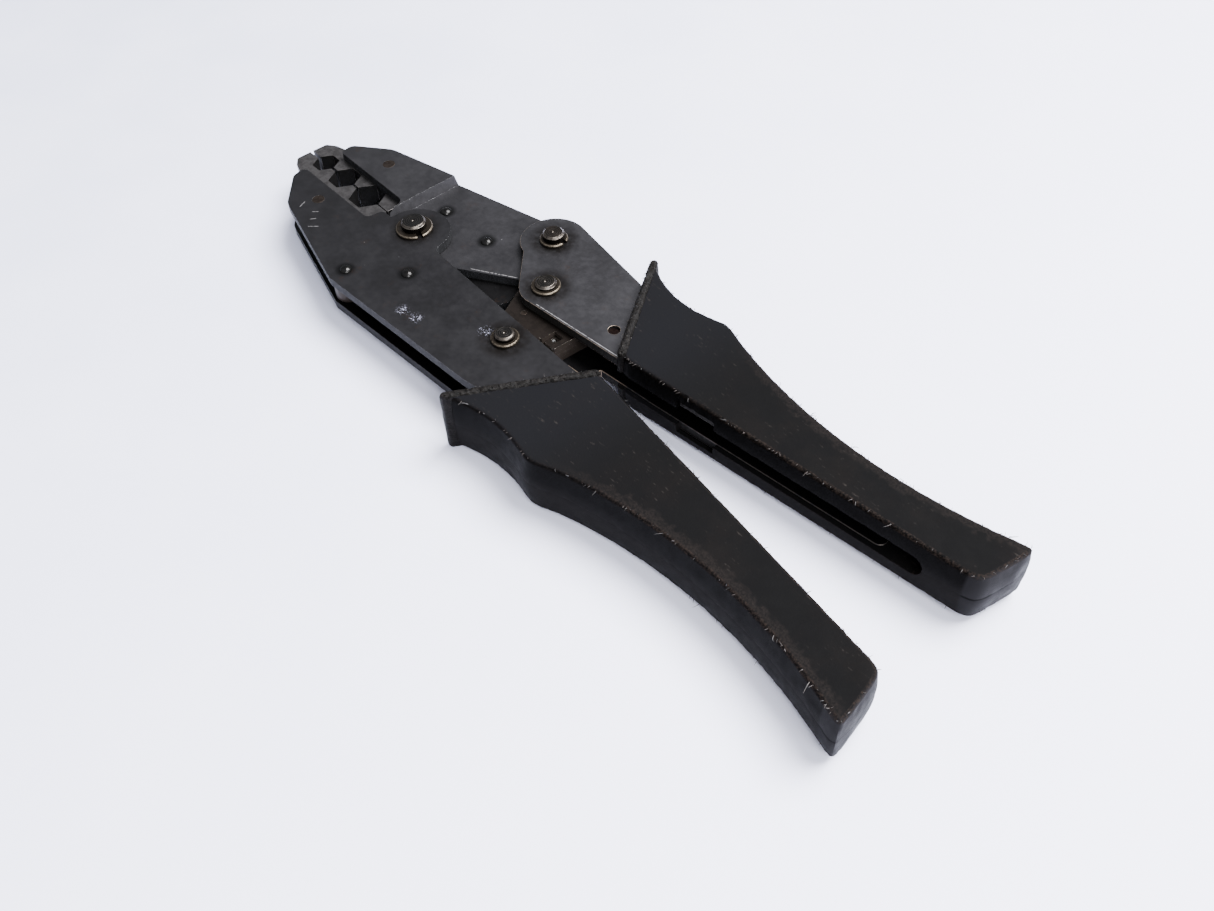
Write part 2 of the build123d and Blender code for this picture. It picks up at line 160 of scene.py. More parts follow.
class Finish:
    """One procedural material. Its pattern coordinates are the frame's, in metres."""

    def __init__(self, name):
        self.material = bpy.data.materials.new(name)
        self.material.use_nodes = True
        self.tree = self.material.node_tree
        self.shader = self.tree.nodes["Principled BSDF"]
        coordinates = self.tree.nodes.new("ShaderNodeTexCoord")
        self.place = coordinates.outputs["Object"]
        self.normal = coordinates.outputs["Normal"]

    def feed(self, socket, value):
        """Links a socket to another node's output, or sets its own number, vector or colour."""
        if isinstance(value, bpy.types.NodeSocket):
            self.tree.links.new(value, socket)
        elif socket.type == "RGBA":
            socket.default_value = (*value, 1)
        else:
            socket.default_value = value

    def add(self, kind, inputs, **settings):
        node = self.tree.nodes.new(kind)
        for key, value in settings.items():
            setattr(node, key, value)
        for key, value in inputs.items():
            self.feed(node.inputs[key], value)
        return node

    def math(self, operation, a, b=0.0):
        return self.add("ShaderNodeMath", {0: a, 1: b}, operation=operation).outputs[0]

    def vector(self, operation, a, b, output="Vector"):
        return self.add("ShaderNodeVectorMath", {0: a, 1: b}, operation=operation).outputs[output]

    def part(self, vector, axis):
        """X, Y or Z part of a vector, by the axis number."""
        return self.add("ShaderNodeSeparateXYZ", {0: vector}).outputs[axis]

    def fade(self, value, low, high, start=0.0, end=1.0):
        """start below low, end above high, and smooth between them."""
        inputs = {"Value": value, "From Min": low, "From Max": high, "To Min": start, "To Max": end}
        node = self.add("ShaderNodeMapRange", inputs, interpolation_type="SMOOTHSTEP")
        return node.outputs["Result"]

    def fade_along(self, low, high, start=0.0, end=1.0):
        """Fade towards the handles' tips, between millimetres from the frame's middle."""
        return self.fade(self.part(self.place, 0), low * MM, high * MM, start, end)

    def band(self, value, rise, fall):
        """0, rising to 1 over the rise and back to 0 over the fall."""
        return self.times(self.fade(value, *rise), self.fade(value, fall[1], fall[0]))

    def times(self, *values):
        product = values[0]
        for value in values[1:]:
            product = self.math("MULTIPLY", product, value)
        return product

    def either(self, *values):
        largest = 0.0
        for value in values:
            largest = self.math("MAXIMUM", largest, value)
        return largest

    def apart(self, a, b):
        """How far two values are from each other."""
        return self.math("ABSOLUTE", self.math("SUBTRACT", a, b))

    def noise(self, size, detail=3.0, roughness=0.55, stretch=(1, 1, 1)):
        """Noise from about 0.3 to 0.7 whose lumps are size millimetres."""
        scaled = self.vector("MULTIPLY", self.place, stretch)
        inputs = {"Vector": scaled, "Scale": 1 / (size * MM), "Detail": detail, "Roughness": roughness}
        return self.add("ShaderNodeTexNoise", inputs).outputs["Fac"]

    def specks(self, size, spread):
        """1 in small round specks and 0 between them."""
        cells = self.add("ShaderNodeTexVoronoi", {"Vector": self.place, "Scale": 1 / (size * MM)})
        return self.fade(cells.outputs["Distance"], spread, spread * 0.4)

    def mix(self, share, a, b):
        """Colour a where share is 0 and b where it is 1."""
        inputs = {MIX_SHARE: share, MIX_A: a, MIX_B: b}
        return self.add("ShaderNodeMix", inputs, data_type="RGBA").outputs[MIX_RESULT]

    def layered(self, colour, *layers):
        """A colour under layers, each given by its share and its own colour, from the lowest up."""
        for share, tint in layers:
            colour = self.mix(share, colour, tint)
        return colour

    def from_axis(self, centre):
        """Distance in metres from an upright axis."""
        flat = self.vector("MULTIPLY", self.place, (1, 1, 0))
        return self.vector("DISTANCE", flat, (centre.x, centre.y, 0), "Value")

    def from_line(self, start, end):
        """Distance in metres from a level line, seen from above."""
        flat = self.vector("MULTIPLY", self.place, (1, 1, 0))
        start, end = Vector((start.x, start.y, 0)), Vector((end.x, end.y, 0))
        run = end - start
        reach = self.vector("SUBTRACT", flat, start)
        along = self.vector("DOT_PRODUCT", reach, run / run.length_squared, "Value")
        share = self.add("ShaderNodeClamp", {"Value": along}).outputs[0]
        nearest = self.add("ShaderNodeVectorMath", {0: run, 3: share}, operation="SCALE").outputs[0]
        return self.vector("DISTANCE", reach, nearest, "Value")

    def near_axes(self, centres, inner, outer):
        """1 within inner millimetres of any of the axes, 0 beyond outer."""
        spots = [self.fade(self.from_axis(c), outer * MM, inner * MM) for c in centres]
        return self.either(*spots)

    def scratches(self, lines, width):
        """1 on thin lines and 0 elsewhere."""
        marks = [self.fade(self.from_line(at(*a), at(*b)), width * MM, width * 0.3 * MM) for a, b in lines]
        return self.either(*marks)

    def facing_up(self):
        """Upright part of the surface normal: 1 on faces that look up, -1 on those that look down."""
        return self.part(self.normal, 2)

    def upright(self):
        """Size of the surface normal's upright part: 1 on level faces, 0 on walls."""
        return self.math("ABSOLUTE", self.facing_up())

    def bump(self, value, depth):
        """Raises the surface by depth millimetres where value is 1."""
        inputs = {"Height": value, "Distance": depth * MM}
        last = self.shader.inputs["Normal"]
        if last.is_linked:
            inputs["Normal"] = last.links[0].from_socket
        node = self.add("ShaderNodeBump", inputs)
        self.tree.links.new(node.outputs[0], last)

    def paint(self, **values):
        for name, value in values.items():
            self.feed(self.shader.inputs[name.replace("_", " ")], value)
        return self.material


MAIN_PIN = centre_of("main_pivot_pin")
JAW_PIN = centre_of("jaw_pin")
LINK_PIN = centre_of("link_pin")
ANCHOR_PIN = centre_of("anchor_pin")
PINS = (MAIN_PIN, JAW_PIN, LINK_PIN, ANCHOR_PIN)
RIVETS = (at(1.2, -22.9), at(13.8, -12.1), at(-3.1, 12.4), at(14.9, 12.6))

# Radii of the oily dirt round a pin and round a rivet: full up to the first, gone beyond the second.
PIN_HALO = (4.0, 8.0)
RIVET_HALO = (1.7, 3.4)
HALO_OIL = (0.009, 0.0075, 0.0065)
RIVET_OIL = (0.004, 0.004, 0.004)
# Colour of the painted shade on the upper faces of plates that lie under others.
UNDER_PLATE_SHADE = (0.0015, 0.0013, 0.0012)
THIN_RUST = (0.035, 0.02, 0.013)
BARE_STEEL = (0.25, 0.24, 0.24)
CHALK = (0.3, 0.3, 0.38)
SCRATCH_WIDTH = 0.15
CHALK_SPOT = (0.2, 2.6)
LATHE_PITCH = 0.55
PIN_WEAR = 0.65

# Ranges of the normal's upright part: on walls, on the slope of a plate's joggle, on rounded edges.
WALL = (0.2, 0.08)
PLATE_WALL = (0.3, 0.1)
JOGGLE_RISE, JOGGLE_FALL = (0.3, 0.36), (0.48, 0.55)
CHAMFER_RISE, RIM_RISE, RIM_FALL = (0.2, 0.5), (0.1, 0.35), (0.8, 0.98)

# Stretches of the handles over which a finish changes, in millimetres from the frame's middle.
PLATES_ENTER_GRIPS = (12.0, 20.0)
TOP_DARKENS = (15.0, 45.0)
RIM_FUZZ_AND_SHEEN_STARTS = (25.0, 50.0)
WEAR_STARTS = (30.0, 60.0)
TIP_FACE = (108.5, 109.5)
# The grips' walls are painted darker between these heights above the table: painted light and shade,
# lighter low on the walls where the floor's light reaches them, darker high up.
WALL_DARKENS = (7.0, 13.0)
# Fuzz and a painted highlight along the outer rim: how far they reach, and how far their border wanders.
RIM_WIDTH = (3.4, 2.2)
RIM_WANDER = 1.2
# Dark seam across the tip face: how far it reaches from mid-height.
SEAM_WIDTH = (0.4, 0.18)


def scaled(tint, factor):
    return tuple(channel * factor for channel in tint)


def scratch_marks(finish, scratches, up):
    """Broken thin lines on the level faces."""
    breaks = finish.fade(finish.noise(0.6), 0.35, 0.5)
    return finish.times(finish.scratches(scratches, SCRATCH_WIDTH), breaks, finish.fade(up, 0.5, 0.8))


def chalk_marks(finish, spots):
    """Powdery crumbs round a few spots."""
    near = finish.near_axes([at(*spot) for spot in spots], *CHALK_SPOT)
    return finish.times(near, finish.fade(finish.noise(0.45, 4.0, 0.7), 0.56, 0.64))


def cut_wall(finish, tint):
    """Upright streaks on the sheet's cut walls."""
    streaks = finish.noise(0.5, 3.0, 0.6, stretch=(1, 1, 0.2))
    return finish.mix(finish.fade(streaks, 0.3, 0.7), scaled(tint, 0.6), tint)


def oxide_plate(name, tint, wall_tint, scratches=(), residue=(), painted_shade_above=0.0):
    """Satin blue-black oxide on sheet steel, with oily halos round the pins, paler cut walls and a painted
    highlight on the joggle's slope.

    scratches are lines, residue is spots of chalk, and the last argument is how much painted shade, for the
    shadow of the plate above, darkens the upper faces.
    """
    finish = Finish(name)
    up = finish.upright()
    clouds = finish.noise(9.0, 4.0, 0.6)
    blotches = finish.noise(2.2, 4.0, 0.6)
    grain = finish.noise(0.35, 3.0, 0.6)
    wall = finish.fade(up, *PLATE_WALL)
    halo = finish.times(finish.near_axes(PINS, *PIN_HALO), finish.fade(blotches, 0.3, 0.6, 0.35, 1.0))
    rust = finish.times(finish.fade(finish.noise(5.0, 5.0), 0.6, 0.74), finish.fade(grain, 0.42, 0.6))
    marks = scratch_marks(finish, scratches, up)
    nicks = finish.times(finish.specks(4.5, 0.045), finish.fade(clouds, 0.45, 0.6))
    chalk = chalk_marks(finish, residue)
    colour = finish.layered(
        finish.mix(finish.fade(clouds, 0.35, 0.68), scaled(tint, 0.85), scaled(tint, 1.18)),
        (finish.times(halo, 0.85), HALO_OIL),
        (finish.times(finish.near_axes(RIVETS, *RIVET_HALO), 0.85), RIVET_OIL),
        # Painted shade on the upper faces of a plate that lies under another.
        (finish.times(finish.fade(finish.facing_up(), 0.3, 0.8), painted_shade_above), UNDER_PLATE_SHADE),
        (finish.times(rust, 0.4), THIN_RUST),
        (wall, cut_wall(finish, wall_tint)),
        # Painted highlight: the joggle's slope is painted lighter, as if lit.
        (finish.band(up, JOGGLE_RISE, JOGGLE_FALL), scaled(tint, 1.8)),
        (finish.either(marks, finish.times(nicks, 0.5)), BARE_STEEL),
        (chalk, CHALK),
    )
    rough = finish.fade(finish.noise(1.6, 5.0, 0.65), 0.3, 0.7, 0.4, 0.5)
    rough = finish.math("SUBTRACT", rough, finish.times(halo, 0.1))
    rough = finish.math("ADD", rough, finish.times(wall, 0.15))
    metal = finish.fade(finish.either(chalk, wall), 0.0, 1.0, 0.9, 0.15)
    finish.bump(grain, 0.01)
    finish.bump(finish.either(marks, chalk), 0.02)
    finish.bump(clouds, 0.02)
    return finish.paint(Base_Color=colour, Roughness=rough, Metallic=metal, Specular_IOR_Level=0.08)


def rubbed_edge(name, tint, bright, share):
    """Rounded edges, rubbed bright in patches that grow with share; duller inside the grips."""
    finish = Finish(name)
    patches = finish.noise(2.4, 4.0, 0.65)
    fine = finish.noise(0.4, 3.0, 0.6)
    worn = finish.fade(patches, 0.68 - share, 0.78 - share)
    worn = finish.times(worn, finish.fade(fine, 0.25, 0.5, 0.5, 1.0))
    worn = finish.times(worn, finish.fade_along(*PLATES_ENTER_GRIPS, 1.0, 0.2))
    colour = finish.mix(worn, tint, bright)
    finish.bump(fine, 0.015)
    return finish.paint(Base_Color=colour, Roughness=finish.fade(fine, 0.3, 0.7, 0.3, 0.48), Metallic=0.9)


def turned_pin(name, centre, tint):
    """Turned pin head: rings left by the lathe, a rubbed chamfer and oily dirt."""
    finish = Finish(name)
    rings = finish.math("SINE", finish.times(finish.from_axis(centre), 2 * pi / (LATHE_PITCH * MM)))
    dirt = finish.noise(0.9, 4.0, 0.65)
    up = finish.upright()
    rim = finish.band(up, CHAMFER_RISE, RIM_FALL)
    bare = finish.either(rim, finish.fade(rings, 0.5, 1.0, 0.0, 0.3))
    bare = finish.times(bare, finish.fade(dirt, 0.3, 0.5))
    colour = finish.layered(
        finish.mix(finish.fade(dirt, 0.35, 0.65), tint, scaled(tint, 0.5)),
        (finish.times(bare, PIN_WEAR), (0.11, 0.095, 0.08)),
        (finish.fade(up, *WALL), (0.012, 0.01, 0.008)),
    )
    finish.bump(rings, 0.02)
    finish.bump(dirt, 0.03)
    return finish.paint(Base_Color=colour, Roughness=finish.fade(dirt, 0.3, 0.7, 0.24, 0.45), Metallic=0.95)


def plain_steel(name, tint, bright, rough, dirt_size=1.2, wear=0.6, wall=0.5):
    """Steel with patches of oily dirt, edges rubbed bright by wear, and walls of wall times its tint."""
    finish = Finish(name)
    dirt = finish.noise(dirt_size, 4.0, 0.65)
    grain = finish.noise(0.2, 2.0)
    up = finish.upright()
    rim = finish.times(finish.band(up, RIM_RISE, RIM_FALL), finish.fade(dirt, 0.32, 0.5))
    colour = finish.layered(
        finish.mix(finish.fade(dirt, 0.38, 0.62), tint, scaled(tint, 0.5)),
        (finish.fade(up, *WALL), scaled(tint, wall)),
        (finish.times(rim, wear), bright),
    )
    finish.bump(grain, 0.01)
    finish.bump(dirt, 0.04)
    roughness = finish.fade(dirt, 0.3, 0.7, rough, rough + 0.2)
    metal = finish.fade(up, *WALL, 0.9, 0.3)
    return finish.paint(Base_Color=colour, Roughness=roughness, Metallic=metal, Specular_IOR_Level=0.15)


def outer_rim(finish, centre, radius):
    """1 in a ragged strip along the grip's outer rim, which is an arc round centre."""
    wander = finish.fade(finish.noise(2.0, 4.0, 0.7), 0.3, 0.7, -RIM_WANDER * MM, RIM_WANDER * MM)
    from_rim = finish.math("ADD", finish.apart(finish.from_axis(centre), radius), wander)
    strip = finish.fade(from_rim, *scaled(RIM_WIDTH, MM))
    return finish.times(strip, finish.fade_along(*RIM_FUZZ_AND_SHEEN_STARTS))


def grip_base(finish, flat, height, at_tip):
    """Colours of the grip's walls and tip face, both with painted light and shade, and of its flat faces,
    before wear.
    """
    walls = finish.layered(
        (0.0058, 0.0053, 0.0052),
        # Painted shade high on the walls, and painted light low on them.
        (finish.fade(height, *scaled(WALL_DARKENS, MM)), (0.0014, 0.0013, 0.0013)),
        # Painted highlight on the tip face.
        (at_tip, (0.0085, 0.0082, 0.0088)),
    )
    top = finish.mix(finish.fade_along(*TOP_DARKENS), (0.0047, 0.0047, 0.0054), (0.0032, 0.0031, 0.0032))
    return finish.mix(flat, walls, top)


def grip_plastic(name, rim_centre, rim_radius):
    """Moulded plastic: matt with light scuffs on the flat faces, brown fuzz and a painted highlight on the
    rims, smoother walls.
    """
    finish = Finish(name)
    up = finish.upright()
    height = finish.part(finish.place, 2)
    flat = finish.fade(up, 0.55, 0.95)
    at_tip = finish.fade_along(*TIP_FACE)
    worn_end = finish.fade_along(*WEAR_STARTS, 0.25, 1.0)
    fuzz = finish.noise(0.5, 5.0, 0.75)
    patches = finish.noise(11.0, 4.0, 0.6)
    fibre = finish.noise(0.7, 3.0, 0.6, stretch=(0.3, 1.2, 1.0))
    brown = finish.times(finish.fade(patches, 0.4, 0.66), finish.fade(fuzz, 0.3, 0.6, 0.4, 1.0))
    brown = finish.times(brown, flat, worn_end)
    rim = outer_rim(finish, rim_centre, rim_radius)
    rim = finish.times(rim, finish.fade(fuzz, 0.4, 0.6, 0.15, 1.0), flat)
    dust = finish.times(finish.fade(fibre, 0.62, 0.72), finish.fade(patches, 0.42, 0.56), flat)
    edge = finish.band(up, (0.12, 0.4), (0.95, 0.999))
    worn = finish.times(edge, finish.fade(fuzz, 0.42, 0.62), worn_end)
    seam = finish.times(finish.fade(finish.apart(height, MID_Z * MM), *scaled(SEAM_WIDTH, MM)), at_tip)
    colour = finish.layered(
        grip_base(finish, flat, height, at_tip),
        (finish.times(brown, 0.4), (0.0056, 0.0045, 0.0041)),
        # Worn fuzz and a painted highlight on the rounded outer rim.
        (finish.times(rim, 0.7), (0.0092, 0.0074, 0.0068)),
        (finish.times(dust, 0.5), (0.022, 0.019, 0.017)),
        (finish.times(worn, 0.7), (0.017, 0.0125, 0.0105)),
        (seam, (0.0001, 0.0001, 0.0001)),
    )
    rough = finish.math("ADD", finish.times(flat, 0.22), 0.4)
    rough = finish.math("ADD", rough, finish.fade(finish.noise(3.0), 0.3, 0.7, -0.06, 0.06))
    finish.bump(finish.noise(0.22, 3.0, 0.7), 0.02)
    finish.bump(finish.times(fuzz, flat), 0.05)
    finish.bump(patches, 0.1)
    return finish.paint(Base_Color=colour, Roughness=rough, Specular_IOR_Level=0.012)


def torn_plastic(name):
    """The same plastic where its skin is torn: rough, grey and stippled."""
    finish = Finish(name)
    lumps = finish.noise(0.9, 4.0, 0.7)
    grit = finish.noise(0.3, 3.0, 0.75)
    colour = finish.layered(
        (0.002, 0.0018, 0.0017),
        (finish.fade(lumps, 0.35, 0.7), (0.0065, 0.0055, 0.005)),
        (finish.fade(grit, 0.6, 0.7, 0.0, 0.7), (0.05, 0.045, 0.04)),
    )
    finish.bump(lumps, 0.25)
    finish.bump(grit, 0.08)
    rough = finish.fade(grit, 0.3, 0.7, 0.38, 0.6)
    return finish.paint(Base_Color=colour, Roughness=rough, Specular_IOR_Level=0.06)


def sliver_plastic(name):
    """Splinters of the same plastic, from nearly black to pale brown."""
    finish = Finish(name)
    tones = finish.noise(3.0, 3.0, 0.6)
    grain = finish.noise(0.25, 2.0)
    colour = finish.mix(finish.fade(tones, 0.38, 0.62), (0.004, 0.0034, 0.003), (0.028, 0.021, 0.0175))
    finish.bump(grain, 0.03)
    return finish.paint(Base_Color=colour, Roughness=finish.fade(grain, 0.3, 0.7, 0.5, 0.7))


def floor_finish():
    """Pale paper with faint unevenness, painted darker and bluer beyond the jaws as painted shade."""
    finish = Finish("floor_paper")
    clouds = finish.noise(60.0, 3.0)
    colour = finish.layered(
        (0.54, 0.56, 0.7),
        # Painted shade: darker and bluer towards the far side, beyond the jaws.
        (finish.fade_along(-300.0, 250.0), (0.84, 0.84, 0.99)),
        (finish.fade(clouds, 0.3, 0.7, 0.0, 0.25), (0.84, 0.83, 0.93)),
    )
    return finish.paint(Base_Color=colour, Roughness=0.75)


def make_floor():
    half = 1.6
    corners = [(-half, -half, 0), (half, -half, 0), (half, half, 0), (-half, half, 0)]
    mesh = bpy.data.meshes.new("floor")
    mesh.from_pydata(corners, [], [(0, 1, 2, 3)])
    floor = bpy.data.objects.new("floor", mesh)
    floor.data.materials.append(floor_finish())
    bpy.context.scene.collection.objects.link(floor)


# ---- CAD pieces: rounded edges and finishes ----

# Points this near are welded, faces this flat are merged, edges this sharp are rounded, and large faces
# lead the shading by this weight.
WELD_GAP = 0.002
FLAT_ANGLE = 0.5
EDGE_ANGLE = 28
LARGE_FACES_LEAD = 90


def dress(names, material, edge, segments=2, edge_material=None):
    """Gives CAD pieces a finish and slightly rounded edges, which may have a finish of their own."""
    for name in names:
        node = NODES[name]
        node.data.materials.clear()
        node.data.materials.append(material)
        if edge_material:
            node.data.materials.append(edge_material)
        for polygon in node.data.polygons:
            polygon.use_smooth = True
        weld = node.modifiers.new("weld", "WELD")
        weld.merge_threshold = WELD_GAP * MM
        merge = node.modifiers.new("merge_flats", "DECIMATE")
        merge.decimate_type = "DISSOLVE"
        merge.angle_limit = radians(FLAT_ANGLE)
        bevel = node.modifiers.new("rounded_edges", "BEVEL")
        bevel.width = edge * MM
        bevel.segments = segments
        bevel.material = 1 if edge_material else -1
        bevel.limit_method = "ANGLE"
        bevel.angle_limit = radians(EDGE_ANGLE)
        bevel.miter_outer = "MITER_ARC"
        weighted = node.modifiers.new("weighted_normals", "WEIGHTED_NORMAL")
        weighted.weight = LARGE_FACES_LEAD


# Scratches run between two points, and chalk lies round one.
FRAME_SCRATCHES = (
    ((-30.0, -17.3), (-30.9, -15.2)),
    ((-25.6, -16.0), (-24.5, -14.8)),
    ((-23.3, -18.3), (-22.4, -17.0)),
    ((-20.9, -20.3), (-19.1, -18.4)),
)
FRAME_CHALK = ((24.5, -21.0), (29.0, -20.4), (44.8, -10.8))
JAW_SCRATCHES = (((21.0, 2.7), (32.0, 9.1)),)
HANDLE_SCRATCHES = (((46.0, 4.6), (80.0, 7.5)),)

PLATE_TINT = (0.0175, 0.0169, 0.018)
PLATE_EDGE = 0.22
THICK_PIECE_EDGE = 0.1
SMALL_PIECE_EDGE = 0.08
RIVET_EDGE = 0.06
# Name, level of the tint, colour of the walls, scratches, chalk, and the rubbed edges' colour and share.
PLATES = (
    ("frame", 1.0, (0.019, 0.019, 0.02), FRAME_SCRATCHES, FRAME_CHALK, (0.14, 0.14, 0.14), 0.22),
    ("jaw", 1.55, (0.016, 0.016, 0.017), JAW_SCRATCHES, (), (0.08, 0.08, 0.08), 0.22),
    ("handle", 1.6, (0.014, 0.013, 0.012), HANDLE_SCRATCHES, (), (0.22, 0.17, 0.13), 0.3),
)
PIN_TINTS = (
    ("main_pivot_pin", MAIN_PIN, (0.011, 0.0105, 0.01)),
    ("jaw_pin", JAW_PIN, (0.016, 0.0125, 0.01)),
    ("link_pin", LINK_PIN, (0.013, 0.0115, 0.01)),
    ("anchor_pin", ANCHOR_PIN, (0.013, 0.012, 0.0115)),
)


def dress_plates():
    """Each pair of plates: the upper one scratched and chalky, the lower one with painted shade for the
    plate above.
    """
    for name, level, wall_tint, scratches, residue, bright, share in PLATES:
        tint = scaled(PLATE_TINT, level)
        # The rounded edges are lighter than the plate all along, a painted highlight, and rubbed bright in
        # patches by wear.
        rubbed_and_highlit = rubbed_edge(f"rubbed_{name}_edge", scaled(tint, 1.7), bright, share)
        upper = oxide_plate(f"oxide_{name}", tint, wall_tint, scratches, residue)
        # Painted shade: the lower plate's walls at 0.6 of the tint, and its upper faces darkened.
        lower = oxide_plate(f"shaded_{name}", tint, scaled(wall_tint, 0.6), painted_shade_above=0.8)
        dress((f"{name}_plate_upper",), upper, PLATE_EDGE, segments=3, edge_material=rubbed_and_highlit)
        dress((f"{name}_plate_lower",), lower, PLATE_EDGE, segments=3, edge_material=rubbed_and_highlit)


def dress_dies():
    tint, bright = (0.05, 0.047, 0.047), (0.1, 0.09, 0.085)
    # Walls at a tenth of the tint: painted shade in the hex bores and in the gap between the dies.
    steel = plain_steel("oxide_die", tint, bright, 0.45, dirt_size=3.0, wear=0.5, wall=0.1)
    rubbed_and_highlit = rubbed_edge("rubbed_die_edge", (0.04, 0.037, 0.037), (0.12, 0.11, 0.105), 0.25)
    dress(("fixed_die", "moving_die"), steel, THICK_PIECE_EDGE, edge_material=rubbed_and_highlit)


def dress_ratchet():
    tint, bright = (0.016, 0.0125, 0.0105), (0.35, 0.32, 0.29)
    steel = plain_steel("shaded_link", tint, bright, 0.36, dirt_size=2.5, wear=0.95, wall=1.6)
    rubbed_and_highlit = rubbed_edge("rubbed_link_edge", (0.03, 0.025, 0.021), (0.3, 0.27, 0.24), 0.5)
    laminations = [f"link_plate_{i + 1}" for i in range(4)]
    dress((*laminations, "pawl", "frame_spacers"), steel, THICK_PIECE_EDGE, edge_material=rubbed_and_highlit)


def dress_small_pins():
    flush = plain_steel("flush_pin", (0.02, 0.015, 0.012), (0.06, 0.045, 0.035), 0.45)
    dress(("fixed_die_pin", "moving_die_pin", "link_rivets"), flush, SMALL_PIECE_EDGE)
    rusty = plain_steel("rusty_pin", (0.007, 0.0035, 0.003), (0.012, 0.007, 0.006), 0.6)
    dress(("pawl_pin",), rusty, SMALL_PIECE_EDGE)
    tint, bright = (0.014, 0.0135, 0.013), (0.03, 0.029, 0.028)
    rivet = plain_steel("rivet", tint, bright, 0.12, dirt_size=0.9, wear=0.4)
    dress(("frame_rivets", "jaw_rivets"), rivet, RIVET_EDGE)
    post = plain_steel("post", (0.03, 0.028, 0.026), (0.1, 0.09, 0.085), 0.35)
    dress(("return_spring_post", "pawl_spring_post"), post, SMALL_PIECE_EDGE)


def dress_pivots():
    """The four pivot pins and their retaining rings."""
    brass, bright = (0.024, 0.019, 0.014), (0.12, 0.1, 0.075)
    ring = plain_steel("brassy_ring", brass, bright, 0.3, dirt_size=0.7, wear=0.85)
    for name, centre, tint in PIN_TINTS:
        dress((name,), turned_pin(f"turned_{name}", centre, tint), THICK_PIECE_EDGE)
        dress((name.replace("pivot_pin", "pivot") + "_ring",), ring, SMALL_PIECE_EDGE)


# ---- Grips, both drawn on the fixed handle's side; the moving one is turned over to its own ----

FIXED_SHAPE = {
    "front": ((58.3, -33.0), (73.0, -29.4), (86.0, -31.3)),
    "back": ((93.5, -28.2), (130.0, -22.6), (175.2, -29.6)),
    "inner": ((172.6, -14.1), (76.2, -1.5)),
    "rib": ((58.3, -32.7), (76.7, -2.6)),
}
MOVING_SHAPE = {
    "front": ((56.6, -31.0), (71.5, -26.2), (85.0, -29.1)),
    "back": ((91.5, -27.0), (130.0, -21.9), (175.2, -29.6)),
    "inner": ((172.6, -14.1), (76.5, -2.1)),
    "rib": ((56.9, -30.3), (75.9, -3.1)),
}
OUTLINE_STEP = 0.9
CORNER_PASSES = 9
# Half thickness of a grip at two places along it.
COLLAR_X, GRIP_HALF_COLLAR = 50.0, 8.5
TIP_X, GRIP_HALF_TIP = 178.0, 7.2
GRIP_BOW = 0.45
GRIP_EDGE = 1.1
GRIP_SEAM = 0.07
RIB_HALF = 1.3
RIB_BOW = 0.05
RIB_EDGE = 1.1
RIB_SEAM = 0.04
SLOT_END_X = 160.5
SLOT_HALF = 2.85
WINDOW_X = (94.0, 105.0)
WINDOW_HALF = 5.3
MIRROR_AT = Vector((76.0, 1.7, 0))
MIRROR_TURN = radians(-1.2)
# Material numbers within a grip, and the angle over which its shading breaks.
GRIP_MATERIAL, RIB_MATERIAL = 0, 1
SHARP_ANGLE = 38


def circle_centre(first, middle, last):
    """Centre of the circle through three points."""
    a, b, c = Vector(first), Vector(middle), Vector(last)
    ab, ac = b - a, c - a
    double_area = 2 * (ab.x * ac.y - ab.y * ac.x)
    return a + Vector((
        (ac.y * ab.length_squared - ab.y * ac.length_squared) / double_area,
        (ab.x * ac.length_squared - ac.x * ab.length_squared) / double_area,
    ))


def arc(first, middle, last, step):
    """Points about step apart on the circle through three points."""
    centre = circle_centre(first, middle, last)
    start, end = Vector(first) - centre, Vector(last) - centre
    turn = atan2(start.x * end.y - start.y * end.x, start.dot(end))
    count = max(2, int(abs(turn) * start.length / step))
    return [centre + Matrix.Rotation(turn * i / count, 2) @ start for i in range(count + 1)]


def evenly(loop, step):
    """A closed loop with points step apart."""
    points = []
    for a, b in zip(loop, loop[1:] + loop[:1]):
        count = max(1, round((b - a).length / step))
        points.extend(a.lerp(b, i / count) for i in range(count))
    return points


def softened(loop, passes):
    """A closed loop with its corners rounded by repeated averaging."""
    for _ in range(passes):
        last = len(loop) - 1
        loop = [
            (loop[i - 1] + loop[i] * 2 + loop[0 if i == last else i + 1]) / 4
            for i in range(len(loop))
        ]
    return loop


def inward(loop):
    """Unit vectors that point into a closed loop, one for each point."""
    count = len(loop)
    area = sum(loop[i - 1].x * loop[i].y - loop[i - 1].y * loop[i].x for i in range(count))
    sign = 1 if area > 0 else -1
    vectors = []
    for i in range(count):
        run = loop[(i + 1) % count] - loop[i - 1]
        vectors.append(Vector((-run.y, run.x)).normalized() * sign)
    return vectors


def room(loop, inner):
    """How far each point can move inwards, with something to spare, before it meets another one."""
    share = 0.7
    limits = []
    for point, normal in zip(loop, inner):
        steps = [other - point for other in loop]
        radii = [step.length_squared / (2 * step.dot(normal)) for step in steps if step.dot(normal) > 1e-6]
        limits.append(share * min(radii))
    return limits


def stacked(rings):
    """Closed mesh through rings of points, from the lowest to the highest."""
    mesh = bmesh.new()
    rows = [[mesh.verts.new(point) for point in ring] for ring in rings]
    count = len(rows[0])
    for low, high in zip(rows, rows[1:]):
        for i in range(count):
            j = (i + 1) % count
            mesh.faces.new((low[i], low[j], high[j], high[i]))
    caps = [mesh.faces.new(rows[0]), mesh.faces.new(rows[-1])]
    mesh.normal_update()
    bmesh.ops.triangulate(mesh, faces=caps)
    bmesh.ops.recalc_face_normals(mesh, faces=mesh.faces)
    return mesh


